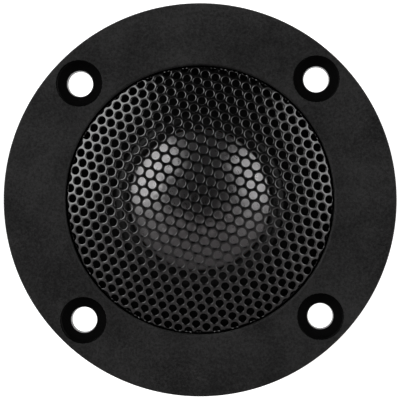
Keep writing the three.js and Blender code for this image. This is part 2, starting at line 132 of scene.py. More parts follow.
def ring_section(node, inner, rounds, step_deg=13):
    """Outline of a plain ring as wide and high as a CAD node. rounds are the radii of its
    corners: inner low, outer low, outer high, inner high."""
    low, high = extent(node)
    corners = ((inner, low.z), (high.x, low.z), (high.x, high.z), (inner, high.z))
    return fillet([(*corner, radius) for corner, radius in zip(corners, rounds)], step_deg)


def dense(outline, longest=0.6):
    """Adds points to an outline, except along the axis, so that no step is over longest."""
    out = []
    for i, (r, z) in enumerate(outline):
        out.append((r, z))
        nr, nz = outline[(i + 1) % len(outline)]
        gap = hypot(nr - r, nz - z)
        parts = int(gap / longest) + 1
        if r < 1e-6 and nr < 1e-6:
            continue
        for k in range(1, parts):
            out.append((r + (nr - r) * k / parts, z + (nz - z) * k / parts))
    return out


def new_object(name, verts, faces, sharp=SHARP_DEG, recalc=True):
    """A smooth-shaded object from points in millimetres."""
    mesh = bpy.data.meshes.new(name)
    mesh.from_pydata((np.asarray(verts, float) * MM).tolist(), [], faces)
    made = bpy.data.objects.new(name, mesh)
    bpy.context.scene.collection.objects.link(made)
    if recalc:
        face_outwards(made)
    shade(made, sharp)
    return made


def face_outwards(piece):
    bm = bmesh.new()
    bm.from_mesh(piece.data)
    bmesh.ops.recalc_face_normals(bm, faces=bm.faces)
    bm.to_mesh(piece.data)
    bm.free()
    piece.data.update()


def shade(piece, sharp=SHARP_DEG):
    piece.data.polygons.foreach_set("use_smooth", [True] * len(piece.data.polygons))
    piece.data.set_sharp_from_angle(angle=radians(sharp))


def turned(name, outline, steps=160, wobble=None, sharp=SHARP_DEG, centre=(0, 0)):
    """An outline of (r, z) points turned round Z. One that starts and ends on the axis closes
    there; any other closes on itself. wobble(r, z, angle) gives each point's own radius."""
    touches = outline[0][0] < 1e-6
    verts, faces, rings = [], [], []
    for r, z in outline:
        if r < 1e-6:
            rings.append([len(verts)] * steps)
            verts.append((centre[0], centre[1], z))
            continue
        rings.append(list(range(len(verts), len(verts) + steps)))
        for k in range(steps):
            angle = TAU * k / steps
            own = wobble(r, z, angle) if wobble else r
            verts.append((centre[0] + own * cos(angle), centre[1] + own * sin(angle), z))
    pairs = list(zip(rings, rings[1:]))
    if not touches:
        pairs.append((rings[-1], rings[0]))
    for low, high in pairs:
        for k in range(steps):
            n = (k + 1) % steps
            quad = [low[k], low[n], high[n], high[k]]
            face = [v for j, v in enumerate(quad) if v not in quad[:j]]
            if len(face) > 2:
                faces.append(face)
    return new_object(name, verts, faces, sharp)


def along_y(name, outline, x, steps, z):
    """Turns an outline of (r, y) points round a line along Y through (x, z)."""
    piece = turned(name, outline, steps)
    spin = Matrix(((1, 0, 0, x * MM), (0, 0, 1, 0), (0, -1, 0, z * MM), (0, 0, 0, 1)))
    piece.data.transform(spin)
    face_outwards(piece)
    return piece


def swept(name, path, sections, sharp):
    """Sections, one list of (across, up) points for each path point, carried along a path.
    path holds (point, across direction, up direction)."""
    verts, faces = [], []
    sides = len(sections[0])
    for (point, across, up), section in zip(path, sections):
        for a, b in section:
            verts.append(tuple(Vector(point) + Vector(across) * a + Vector(up) * b))
    for i in range(len(path) - 1):
        for k in range(sides):
            n = (k + 1) % sides
            faces.append([i * sides + k, i * sides + n, (i + 1) * sides + n,
                          (i + 1) * sides + k])
    faces.append(list(range(sides)))
    faces.append(list(range((len(path) - 1) * sides, len(path) * sides)))
    return new_object(name, verts, faces, sharp)


def prism(name, outline, low, high, place=lambda x, y, z: (x, y, z)):
    """A closed outline of (x, y) points given a height, then moved by place."""
    count = len(outline)
    verts = [place(x, y, z) for z in (low, high) for x, y in outline]
    faces = [list(range(count)), list(range(count, 2 * count))]
    faces += [[k, (k + 1) % count, count + (k + 1) % count, count + k] for k in range(count)]
    return new_object(name, verts, faces)


def block(name, low, high):
    """A box between two corners."""
    outline = [(low[0], low[1]), (high[0], low[1]), (high[0], high[1]), (low[0], high[1])]
    return prism(name, outline, low[2], high[2])


def applied(piece):
    """Bakes a piece's modifiers into its mesh."""
    graph = bpy.context.evaluated_depsgraph_get()
    graph.update()
    mesh = bpy.data.meshes.new_from_object(piece.evaluated_get(graph), depsgraph=graph)
    piece.modifiers.clear()
    old = piece.data
    piece.data = mesh
    mesh.name = piece.name
    bpy.data.meshes.remove(old)


def combine(piece, tools, operation, sharp=SHARP_DEG):
    """Joins a piece with tools or cuts them out of it, and removes the tools."""
    for tool in tools:
        step = piece.modifiers.new("step", "BOOLEAN")
        step.operation = operation
        step.object = tool
        step.solver = "MANIFOLD"
    applied(piece)
    for tool in tools:
        mesh = tool.data
        bpy.data.objects.remove(tool)
        bpy.data.meshes.remove(mesh)
    shade(piece, sharp)


def cut(piece, tools, sharp=SHARP_DEG):
    combine(piece, tools, "DIFFERENCE", sharp)


def join(piece, tools):
    combine(piece, tools, "UNION")


def softened(piece, width, angle_deg=40):
    """Rounds the sharp edges of a flat-sided piece."""
    step = piece.modifiers.new("soft", "BEVEL")
    step.width = width * MM
    step.segments = 2
    step.limit_method = "ANGLE"
    step.angle_limit = radians(angle_deg)
    applied(piece)
    shade(piece)
    return piece


def roughened(piece, amount, size, offset=0.0):
    """Moves each point a little, as foam or felt is never quite true."""
    for v in piece.data.vertices:
        at = v.co / (size * MM) + Vector((offset, 0, 0))
        v.co += noise.noise_vector(at) * amount * MM
    piece.data.update()


def screw_places(circle):
    """(x, y) of the four screws on a circle of that diameter."""
    angles = [radians(angle) for angle in SCREW_ANGLES]
    return [(circle / 2 * cos(a), circle / 2 * sin(a)) for a in angles]


def turned_at_screws(circle, name, outline, steps):
    return [turned(name, outline, steps, centre=place) for place in screw_places(circle)]


# -------- materials

class Nodes:
    """A short way to build one material's node tree, in the object's own space."""

    def __init__(self, name):
        self.material = bpy.data.materials.new(name)
        self.material.use_nodes = True
        self.tree = self.material.node_tree
        self.shader = self.tree.nodes["Principled BSDF"]
        coords = self.tree.nodes.new("ShaderNodeTexCoord")
        self.place = coords.outputs["Object"]
        self.height = None

    def put(self, socket, value):
        """Gives a socket a value, or links it to another node's output."""
        if isinstance(value, bpy.types.NodeSocket):
            self.tree.links.new(value, socket)
        else:
            socket.default_value = value

    def add(self, kind, **inputs):
        made = self.tree.nodes.new(kind)
        for key, value in inputs.items():
            self.put(made.inputs[key.replace("_", " ")], value)
        return made

    def set(self, **inputs):
        for key, value in inputs.items():
            self.put(self.shader.inputs[key.replace("_", " ")], value)

    def noise(self, size_mm, detail=3.0, roughness=0.55, place=None, distortion=0.0):
        made = self.add("ShaderNodeTexNoise", Vector=place or self.place,
                        Scale=1 / (size_mm * MM), Detail=detail, Roughness=roughness,
                        Distortion=distortion)
        return made.outputs["Fac"]

    def cells(self, size_mm):
        made = self.add("ShaderNodeTexVoronoi", Vector=self.place, Scale=1 / (size_mm * MM))
        return made.outputs["Distance"]

    def drawn_out(self, *scale):
        """A place for noise that is stretched by the inverse of scale along each axis."""
        return self.add("ShaderNodeMapping", Vector=self.place, Scale=scale).outputs[0]

    def span(self, value, low, high, from_low=0.3, from_high=0.7):
        """Carries a value over from one range to another."""
        made = self.add("ShaderNodeMapRange", Value=value, From_Min=from_low, From_Max=from_high,
                        To_Min=low, To_Max=high)
        return made.outputs["Result"]

    def ramp(self, value, *stops):
        """A colour between stops of (position, colour)."""
        made = self.add("ShaderNodeValToRGB", Fac=value)
        points = made.color_ramp.elements
        while len(points) < len(stops):
            points.new(0.5)
        for point, (at, colour) in zip(points, stops):
            point.position = at
            point.color = (*colour, 1)
        return made.outputs["Color"]

    def math(self, operation, a, b=0.0):
        made = self.tree.nodes.new("ShaderNodeMath")
        made.operation = operation
        self.put(made.inputs[0], a)
        self.put(made.inputs[1], b)
        return made.outputs[0]

    def clouded(self, size_mm, detail, dark, light):
        """A base colour that drifts between two colours."""
        self.set(Base_Color=self.ramp(self.noise(size_mm, detail), (0.3, dark), (0.7, light)))

    def worn(self, size_mm, low, high):
        """A roughness that drifts between two values."""
        self.set(Roughness=self.span(self.noise(size_mm), low, high))

    def radial(self):
        """(distance from the Z axis, angle round it, height), in metres and radians."""
        split = self.add("ShaderNodeSeparateXYZ", Vector=self.place)
        x, y = split.outputs["X"], split.outputs["Y"]
        distance = self.math("SQRT", self.math("ADD", self.math("MULTIPLY", x, x),
                                               self.math("MULTIPLY", y, y)))
        return distance, self.math("ARCTAN2", y, x), split.outputs["Z"]

    def bump(self, value, depth_mm, strength=1.0):
        """Relief from a value, on top of the relief that is already there."""
        made = self.add("ShaderNodeBump", Height=value, Distance=depth_mm * MM, Strength=strength)
        if self.height is not None:
            self.tree.links.new(self.height, made.inputs["Normal"])
        self.height = made.outputs["Normal"]
        self.tree.links.new(self.height, self.shader.inputs["Normal"])


def toned(value, tint=(1, 1, 1)):
    """A grey, or a colour made darker or lighter."""
    return tuple(value * t for t in tint)


def plastic(name, tone, rough, grain_mm, grain_depth, specular=0.5, mottle=0.25):
    """Moulded plastic: a fine spark grain, mottling and small changes of gloss."""
    n = Nodes(name)
    blotches = n.noise(8)
    specks = n.noise(0.42, detail=4, roughness=0.75)
    cloud = n.span(n.math("ADD", blotches, n.math("MULTIPLY", specks, 2.0)), 0, 1, 1.15, 1.85)
    n.set(Base_Color=n.ramp(cloud, (0.0, toned(tone * (1 - mottle))),
                            (1.0, toned(tone * (1 + mottle)))))
    n.worn(0.8, rough - 0.05, rough + 0.05)
    n.set(Specular_IOR_Level=specular)
    if grain_depth:
        n.bump(n.noise(grain_mm, detail=2, roughness=0.7), grain_depth)
        n.bump(n.noise(grain_mm * 5, detail=2), grain_depth * 1.2, 0.6)
    return n.material


def metal(name, colour, rough, brushed=None, speck=0.05, depth=0.004, tarnish=0.12):
    """Bare or plated metal. brushed is "round" for lathe marks, "along" for rolled strip."""
    n = Nodes(name)
    n.clouded(1.7, 5, toned(1 - tarnish, colour), colour)
    n.set(Metallic=1.0)
    spread = n.span(n.noise(0.5), rough - speck, rough + speck)
    if brushed:
        if brushed == "round":
            distance, _, height = n.radial()
            rings = n.add("ShaderNodeCombineXYZ", X=distance, Y=height)
            lines = n.noise(0.09, detail=4, place=rings.outputs[0])
        else:
            lines = n.noise(0.07, detail=4, place=n.drawn_out(1, 1, 0.04))
        n.bump(lines, depth)
        spread = n.math("ADD", spread, n.span(lines, -0.06, 0.06))
    else:
        n.bump(n.noise(0.12), depth)
    n.set(Roughness=spread)
    return n.material


def rubber(name, tone, rough, grain_mm=0.3, depth=0.01):
    """Rubber: dark and matt, with a soft mottling and a fine grain."""
    n = Nodes(name)
    n.clouded(1.5, 4, toned(tone * 0.75), toned(tone * 1.3))
    n.worn(0.7, rough - 0.07, rough + 0.07)
    n.set(Specular_IOR_Level=0.35)
    n.bump(n.noise(grain_mm, roughness=0.7), depth)
    return n.material


def open_cell(name, tone, cell_mm, depth):
    """Foam: small pores with bright struts between them. The pores are painted darker than the
    struts, painted shade in the hollows.
    """
    n = Nodes(name)
    pores = n.cells(cell_mm)
    broken = n.math("ADD", pores, n.math("MULTIPLY", n.noise(cell_mm * 0.6, detail=4), 0.5))
    # dark pores and lighter struts: painted shade in the hollows, on top of the relief below
    n.set(Base_Color=n.ramp(broken, (0.25, toned(tone * 0.45)), (0.9, toned(tone * 1.5))))
    n.worn(cell_mm * 4, 0.86, 0.98)
    n.set(Specular_IOR_Level=0.2, Sheen_Weight=0.15, Sheen_Roughness=0.6)
    n.bump(broken, depth)
    return n.material


def felt_wool(name, tone):
    """Felt: short fibres that cross each other, under a soft sheen."""
    n = Nodes(name)
    one_way = n.noise(0.16, detail=5, place=n.drawn_out(1, 0.25, 1), distortion=2)
    other_way = n.noise(0.19, detail=5, place=n.drawn_out(0.25, 1, 1), distortion=2)
    fibres = n.math("MAXIMUM", one_way, other_way)
    n.set(Base_Color=n.ramp(fibres, (0.35, toned(tone * 0.5, (1, 1, 0.97))),
                            (0.75, toned(tone * 1.6, (1, 1, 0.98)))))
    n.set(Roughness=n.span(fibres, 0.9, 1.0), Sheen_Weight=0.4, Sheen_Roughness=0.5)
    n.set(Specular_IOR_Level=0.15)
    n.bump(fibres, 0.06)
    return n.material


def cap_finish():
    """Black finish over the perforated steel: dark, satin and faintly pebbled."""
    n = Nodes("grille_finish")
    n.clouded(1.3, 4, toned(GRILLE_TONE * 0.88), toned(GRILLE_TONE * 1.1))
    n.set(Specular_IOR_Level=1.0)
    n.worn(0.6, GRILLE_ROUGH - 0.04, GRILLE_ROUGH + 0.05)
    n.bump(n.noise(0.18, roughness=0.6), 0.005)
    return n.material


def dome_finish():
    """Drawn and lightly anodised foil: satin, with faint drawing marks round the axis."""
    n = Nodes("dome_finish")
    distance, angle, _ = n.radial()
    n.clouded(2.6, 4, *DOME_TONE)
    n.set(Metallic=1.0)
    marks = n.add("ShaderNodeCombineXYZ", X=distance, Y=n.math("MULTIPLY", angle, 0.0006))
    lines = n.noise(0.16, place=marks.outputs[0])
    n.set(Roughness=n.math("ADD", n.span(n.noise(0.9), DOME_ROUGH - 0.03, DOME_ROUGH + 0.03),
                           n.span(lines, -0.02, 0.02)))
    n.bump(lines, 0.0003)
    return n.material


def laminate():
    """Paper-and-resin board: brown, with layers showing on its edges."""
    n = Nodes("board_laminate")
    layers = n.noise(0.8, detail=4, place=n.drawn_out(0.15, 6, 0.15))
    grain = n.noise(0.5, detail=5)
    both = n.math("ADD", n.math("MULTIPLY", layers, 0.6), n.math("MULTIPLY", grain, 0.4))
    n.set(Base_Color=n.ramp(both, (0.3, (0.07, 0.028, 0.011)), (0.7, (0.16, 0.07, 0.028))))
    n.set(Specular_IOR_Level=0.5)
    n.worn(0.6, 0.38, 0.5)
    n.bump(grain, 0.01)
    return n.material


def enamel_copper(name, colour):
    """Enamelled copper wire."""
    n = Nodes(name)
    n.clouded(0.9, 3, toned(0.8, colour), colour)
    n.set(Metallic=1.0, Coat_Weight=0.6, Coat_Roughness=0.12)
    n.worn(0.4, 0.25, 0.36)
    n.bump(n.noise(0.15), 0.003)
    return n.material


# -------- sizes

SCREW_ANGLES = [45, 135, 225, 315]
FLANGE_RADIUS = extent("faceplate")[1].x
FRONT_Z = extent("faceplate")[1].z
SEAT_Z = FRONT_Z - 2
BACK_Z = FRONT_Z - 4
HUB_Z = BACK_Z - 1
BOSS_Z = extent("faceplate")[0].z
HUB_RADIUS = 25
LIP_RADIUS = 24.6
LIP_ROUND = 0.5
MOUNT_CIRCLE = 61.4
HOLE_RADIUS = 2.4
HOLE_DRAFT = 0.14
COUNTERBORE_RADIUS = 4.25
ASSEMBLY_CIRCLE = 46.6
BOSS_RADIUS = 2.2

# the grille's rim stands a little wider than its CAD solid, which closes the gap to the lip
GRILLE_RADIUS = extent("grille")[1].x + 0.05
GRILLE_LOW_Z = extent("grille")[0].z
GRILLE_TOP_Z = extent("grille")[1].z
GRILLE_RIM_Z = GRILLE_TOP_Z - 6
GRILLE_SHEET = 0.5
GRILLE_BEND = 0.35
GRILLE_SKIRT_SHEET = 0.26
HOLE_PITCH = 2.03
PERFORATION_RADIUS = 0.75
PERFORATION_ROUND = 0.17
ROW_ANGLE = radians(-18)
ROW_OFFSET = (1.18, -0.19)

DIAPHRAGM_Z = extent("dome")[0].z
THROAT_Z = DIAPHRAGM_Z + 0.7
DOME_SPHERE = 20
DOME_ARC_RADIUS = 12.7
DOME_SHEET = 0.1
CARRIER_INNER = 15.6
CARRIER_STEP = 17
VENT_RADIUS = 2.5

GRILLE_TONE = 0.002
GRILLE_ROUGH = 0.17
DOME_TONE = ((0.345, 0.336, 0.34), (0.369, 0.36, 0.363))
DOME_ROUGH = 0.3

# pole, place along X, width of its blade
TERMINALS = (("positive", -5, 4.8), ("negative", 5, 2.8))
RIVET_Z = 12.6
RIVET_HOLE_RADIUS = 0.75
DIMPLE_Z = 5.6


def finished(piece, material, node, body="frame", *more):
    """Gives a piece its finish and its body, and hides the CAD node that it stands for. more are
    chosen faces' finishes.
    """
    # emptying the material list also resets every face, so the faces' choices are put back
    chosen = [face.material_index if more else 0 for face in piece.data.polygons]
    piece.data.materials.clear()
    for m in (material, *more):
        piece.data.materials.append(m)
    piece.data.polygons.foreach_set("material_index", chosen)
    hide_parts(node)
    if body:
        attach(piece, body)
    return piece


# -------- faceplate

def make_faceplate():
    """Hub, flange, lip, groove for the grille's skirt, throat, bosses and holes."""
    groove_z, groove_radius = GRILLE_LOW_Z - 0.1, 22.9
    ledge_z, ledge_radius = groove_z + 0.8, 22.3
    dish_radius, dish_round = 19.2, 12.0
    throat_radius, throat_foot_z = 16.1, DIAPHRAGM_Z + 0.15
    ring_seat_radius = 17.1
    outline = fillet([
        (HUB_RADIUS, HUB_Z, 0.25), (HUB_RADIUS, BACK_Z, 0.2),
        (FLANGE_RADIUS, BACK_Z, 0.3), (FLANGE_RADIUS, FRONT_Z, 0.25),
        (LIP_RADIUS, FRONT_Z, LIP_ROUND), (LIP_RADIUS, groove_z, 0.15),
        (groove_radius, groove_z, 0.1), (groove_radius, ledge_z, 0.15),
        (ledge_radius, ledge_z, 0.15), (dish_radius, THROAT_Z - 0.3, dish_round),
        (throat_radius, THROAT_Z, 0.15), (throat_radius, throat_foot_z, 0.05),
        (ring_seat_radius, throat_foot_z, 0), (ring_seat_radius, HUB_Z, 0.05),
    ], step_deg=9)
    body = turned("plate", outline, steps=256)

    boss_end = BACK_Z + 0.2
    boss = fillet([
        (0, BOSS_Z, 0), (BOSS_RADIUS, BOSS_Z, 0.2), (BOSS_RADIUS, HUB_Z - 0.35, 0),
        (BOSS_RADIUS + 0.35, HUB_Z + 0.1, 0), (BOSS_RADIUS, boss_end, 0), (0, boss_end, 0)],
        closed=False)
    join(body, turned_at_screws(ASSEMBLY_CIRCLE, "boss", boss, 48))

    pilot_radius, pilot_mouth, pilot_end = 1.0, 1.35, 18.7
    pilot = [(0, BOSS_Z - 1), (pilot_mouth, BOSS_Z - 1), (pilot_mouth, BOSS_Z - 0.1),
             (pilot_radius, BOSS_Z + 0.25), (pilot_radius, pilot_end), (0, pilot_end)]
    bores = turned_at_screws(ASSEMBLY_CIRCLE, "pilot", pilot, 32)
    back_mouth, clear_z = 2.6, FRONT_Z + 2
    bore = [(0, BACK_Z - 1), (back_mouth, BACK_Z - 1), (back_mouth, BACK_Z - 0.01),
            (HOLE_RADIUS - HOLE_DRAFT, BACK_Z + 0.3), (HOLE_RADIUS, SEAT_Z - 0.12),
            (HOLE_RADIUS + 0.12, SEAT_Z), (COUNTERBORE_RADIUS - 0.15, SEAT_Z),
            (COUNTERBORE_RADIUS, SEAT_Z + 0.15), (COUNTERBORE_RADIUS, FRONT_Z - 0.05),
            (COUNTERBORE_RADIUS + 0.06, FRONT_Z + 0.02), (COUNTERBORE_RADIUS + 0.06, clear_z),
            (0, clear_z)]
    bores += turned_at_screws(MOUNT_CIRCLE, "bore", bore, 96)
    for _, x, width in TERMINALS:
        bores.append(block("slot", (x - width / 2 - 0.2, -23, HUB_Z - 1),
                           (x + width / 2 + 0.2, -17.2, HUB_Z + 0.6)))
    cut(body, bores)
    body.name = "face_plate"

    # the counterbores, the gap under the lip and the throat are smooth, the rest is grained; the
    # smooth faces also get a darker tone, painted shade in these recesses
    centres = screw_places(MOUNT_CIRCLE)
    for face in body.data.polygons:
        x, y, z = face.center / MM
        in_bore = z < FRONT_Z - 0.02 and any(
            hypot(x - cx, y - cy) < COUNTERBORE_RADIUS + 0.02 for cx, cy in centres)
        from_axis = hypot(x, y)
        in_gap = from_axis < LIP_RADIUS + 0.01 and z < FRONT_Z - 1.2
        in_throat = from_axis < LIP_RADIUS - 0.5
        face.material_index = 1 if in_bore or in_gap or in_throat else 0
    grained = plastic("plate_grain", 0.0172, 0.5, 0.2, 0.06, specular=0.22, mottle=0.75)
    # smooth: a glossier finish, and a tone darker than the grain's that is painted shade
    smooth = plastic("plate_smooth_painted_shade", 0.007, 0.22, 0.3, 0.0, specular=0.12, mottle=0.15)
    finished(body, grained, "faceplate", "frame", smooth)


# -------- grille

def cap_profile(s):
    """Where a point of the flat sheet, s from its middle, lies on the formed cap's outer face:
    (radius, height, angle that the face leans out)."""
    rise = GRILLE_TOP_Z - GRILLE_RIM_Z
    sphere = (GRILLE_RADIUS ** 2 + rise ** 2) / (2 * rise)
    centre_z = GRILLE_TOP_Z - sphere
    # the bend's circle touches the sphere from inside and the skirt's cylinder
    bend_r = GRILLE_RADIUS - GRILLE_BEND
    lean = asin(bend_r / (sphere - GRILLE_BEND))
    bend_z = centre_z + (sphere - GRILLE_BEND) * cos(lean)
    start = sphere * lean
    turn = pi / 2 - lean
    if s <= start:
        a = s / sphere
        return sphere * sin(a), centre_z + sphere * cos(a), a
    if s <= start + GRILLE_BEND * turn:
        a = lean + (s - start) / GRILLE_BEND
        return bend_r + GRILLE_BEND * sin(a), bend_z + GRILLE_BEND * cos(a), a
    return GRILLE_RADIUS, bend_z - (s - start - GRILLE_BEND * turn), pi / 2


def sheet_at(reached):
    """How far out on the flat sheet the formed cap comes before it meets a condition."""
    s, step = 20.0, 0.01
    while not reached(cap_profile(s)):
        s += step
    return s - step


def make_grille():
    """Flat sheet with rows of round holes, trimmed to a disc, then pressed to the cap's shape."""
    reach = sheet_at(lambda place: place[1] <= GRILLE_LOW_Z)
    bend = sheet_at(lambda place: place[0] >= GRILLE_RADIUS - GRILLE_BEND)
    # each hole has a six-sided cell of sheet round it, and cells share their edges' points
    per_side = 4
    around = 6 * per_side
    p = HOLE_PITCH
    corner = p / sqrt(3)
    hexagon, circle = [], []
    for k in range(around):
        side, part = divmod(k, per_side)
        a0 = radians(60 * side - 30)
        a1 = a0 + radians(60)
        t = part / per_side
        x = corner * ((1 - t) * cos(a0) + t * cos(a1))
        y = corner * ((1 - t) * sin(a0) + t * sin(a1))
        a = atan2(y, x)
        hexagon.append((x, y))
        circle.append((cos(a), sin(a)))
    # rings down a hole, as (more than its radius, height), with both of its ends rounded
    q = PERFORATION_ROUND
    h = GRILLE_SHEET
    rings = [(q, 0.0), (q * 0.42, -q * 0.14), (q * 0.1, -q * 0.5), (0.0, -q * 1.1),
             (0.0, -(h - q * 0.6)), (q * 0.25, -(h - q * 0.2)), (q * 0.7, -h)]
    shapes = [(hexagon, 0.0)]
    for wider, z in rings:
        r = PERFORATION_RADIUS + wider
        shapes.append(([(r * ux, r * uy) for ux, uy in circle], z))
    shapes.append((hexagon, -h))
    verts, faces = [], []
    index = {}
    cos_row, sin_row = cos(ROW_ANGLE), sin(ROW_ANGLE)

    def point(x, y, z):
        key = (round(x * 2000), round(y * 2000), round(z * 2000))
        if key not in index:
            index[key] = len(verts)
            verts.append((x, y, z))
        return index[key]

    # sides that only one cell has, which lie outside the disc, are closed with a wall
    sides = {}
    rows = int(reach / p) + 3
    for i in range(-rows, rows + 1):
        for j in range(-rows, rows + 1):
            x = p * (i + j / 2)
            y = p * j * sqrt(3) / 2
            cx = x * cos_row - y * sin_row + ROW_OFFSET[0]
            cy = x * sin_row + y * cos_row + ROW_OFFSET[1]
            if hypot(cx, cy) > reach + p * 0.8:
                continue
            loops = []
            for shape, z in shapes:
                loops.append([point(cx + px * cos_row - py * sin_row,
                                    cy + px * sin_row + py * cos_row, z) for px, py in shape])
            for outer, inner in zip(loops, loops[1:]):
                for k in range(around):
                    n = (k + 1) % around
                    faces.append([outer[k], outer[n], inner[n], inner[k]])
            top, under = loops[0], loops[-1]
            for k in range(around):
                n = (k + 1) % around
                edge = (top[k], top[n])
                if (edge[1], edge[0]) in sides:
                    del sides[(edge[1], edge[0])]
                else:
                    sides[edge] = (under[k], under[n])
    faces += [[b, a, c, d] for (a, b), (c, d) in sides.items()]
    sheet = new_object("sheet", verts, faces)
    combine(sheet, [turned("disc", rod(reach, 1, -2), 360)], "INTERSECT")

    # press: each point keeps its distance along the sheet, and the skirt is drawn thinner
    for v in sheet.data.vertices:
        x, y, z = v.co / MM
        s = hypot(x, y)
        if s < 1e-9:
            v.co = Vector((0, 0, GRILLE_TOP_Z + z)) * MM
            continue
        r, height, lean = cap_profile(s)
        z *= 1 + (GRILLE_SKIRT_SHEET / GRILLE_SHEET - 1) * ease(s, bend - 1.2, bend)
        r += z * sin(lean)
        height += z * cos(lean)
        v.co = Vector((r * x / s, r * y / s, height)) * MM
    sheet.data.update()
    face_outwards(sheet)
    shade(sheet, 45)
    sheet.name = "grille_cap"
    finished(sheet, cap_finish(), "grille")


# -------- diaphragm

def make_dome():
    """A spherical cap of foil with a narrow flat rim that the former is glued to."""
    low = DIAPHRAGM_Z
    rim = extent("dome")[1].x
    centre_z = extent("dome")[1].z - DOME_SPHERE
    outline = []
    steps = 40
    lean = asin(DOME_ARC_RADIUS / DOME_SPHERE)
    for k in range(steps + 1):
        a = lean * k / steps
        outline.append((DOME_SPHERE * sin(a), centre_z + DOME_SPHERE * cos(a)))
    outline += [(DOME_ARC_RADIUS + 0.05, low + 0.12), (rim - 0.03, low + 0.12), (rim, low + 0.09),
                (rim, low)]
    inner = DOME_SPHERE - DOME_SHEET
    inner_lean = acos((low - centre_z) / inner)
    for k in range(steps + 1):
        a = inner_lean * (1 - k / steps)
        outline.append((inner * sin(a), centre_z + inner * cos(a)))
    outline[-1] = (0.0, outline[-1][1])
    finished(turned("dome_foil", outline, 192), dome_finish(), "dome", "diaphragm")


def make_surround():
    """A thin sheet with one low roll, between the dome's rim and the ring."""
    low = DIAPHRAGM_Z
    inner, outer = 12.95, extent("surround")[1].x
    roll_in, roll_out, sheet = 13.3, 15.5, 0.15
    height = extent("surround")[1].z - low - sheet
    steps = 24
    middle = [(inner, low)]
    for k in range(steps + 1):
        share = k / steps
        middle.append((roll_in + (roll_out - roll_in) * share,
                       low + height * sin(pi * share) ** 2))
    middle.append((outer, low))
    top = [(r, z + sheet) for r, z in middle]
    piece = turned("surround_roll", middle + top[::-1], 160, sharp=40)
    finished(piece, rubber("surround_finish", 0.003, 0.42, 0.14, 0.006), "surround", None)
    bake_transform(piece)
    distance = np.array([hypot(v.co.x, v.co.y) / MM for v in piece.data.vertices])
    share = np.clip((roll_out - distance) / (roll_out - roll_in), 0, 1)


def make_former():
    foil = 0.09
    inner = extent("voice_coil_former")[1].x - foil
    outline = ring_section("voice_coil_former", inner, (0.02, 0.02, 0.02, 0.02), 30)
    finish = metal("former_foil", (0.62, 0.62, 0.61), 0.3, "round", depth=0.002)
    finished(turned("coil_former", outline, 160), finish, "voice_coil_former", "diaphragm")


def make_coil():
    """The winding, whose outside shows the turns of round wire lying side by side."""
    low, high = extent("voice_coil")
    inner, outer = 12.9, high.x
    turns = 14
    wire = (high.z - low.z) / turns
    half = wire / 2
    outline = [(inner, low.z), (outer - half, low.z)]
    for k in range(turns):
        for a in (-60, -30, 0, 30, 60):
            t = radians(a)
            outline.append((outer - half + half * cos(t),
                            low.z + wire * (k + 0.5) + half * sin(t)))
    outline += [(outer - half, high.z), (inner, high.z)]
    finish = enamel_copper("coil_enamel", (0.72, 0.28, 0.12))
    finished(turned("coil_winding", outline, 144, sharp=70), finish, "voice_coil", "diaphragm")


def make_ring():
    """The carrier ring, stepped to sit in the faceplate and notched for the two leads."""
    low, high = extent("diaphragm_ring")
    outline = fillet([
        (CARRIER_INNER, low.z, 0.15), (high.x, low.z, 0.15), (high.x, HUB_Z, 0.15),
        (CARRIER_STEP, HUB_Z, 0.1), (CARRIER_STEP, high.z, 0.12),
        (CARRIER_INNER, high.z, 0.12)])
    piece = turned("carrier_ring", outline, 160)
    notch = 0.4
    cut(piece, [block("notch", (x - notch, -18.3, HUB_Z - 0.5), (x + notch, -13.25, HUB_Z + 0.2))
                for _, x, _ in TERMINALS])
    finished(piece, plastic("ring_plastic_finish", 0.022, 0.45, 0.3, 0.012), "diaphragm_ring")


def make_lead(pole, x):
    """Enamelled lead from the winding to its terminal's lug, with a little slack."""
    winding_radius, wire_radius, wire_sides, steps = 13.0, 0.15, 12, 8
    coil_y = -sqrt(winding_radius ** 2 - x ** 2)
    route = [Vector(p) for p in (
        (x, coil_y, 15.38), (x, coil_y - 0.7, 15.85), (x, coil_y - 1.6, 16.3),
        (x, coil_y - 2.7, 16.75), (x, -17, 16.75), (x, -18, 16.75))]
    points = []
    for i in range(len(route) - 1):
        a, b = route[max(i - 1, 0)], route[i]
        c, d = route[i + 1], route[min(i + 2, len(route) - 1)]
        for k in range(steps):
            t = k / steps
            # a smooth curve through the points of the route
            points.append(0.5 * (2 * b + (c - a) * t + (2 * a - 5 * b + 4 * c - d) * t * t
                                 + (3 * b - a - 3 * c + d) * t ** 3))
    points.append(route[-1])
    circle = [(wire_radius * cos(TAU * k / wire_sides),
               wire_radius * sin(TAU * k / wire_sides)) for k in range(wire_sides)]
    across = Vector((1, 0, 0))
    path = []
    for i, at in enumerate(points):
        along = (points[min(i + 1, len(points) - 1)] - points[max(i - 1, 0)]).normalized()
        path.append((at, across, along.cross(across)))
    piece = swept("lead_" + pole, path, [circle] * len(points), sharp=50)
    finished(piece, enamel_copper("lead_enamel_" + pole, (0.7, 0.27, 0.11)),
             "lead_wire_" + pole, None)
    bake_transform(piece)


# -------- motor

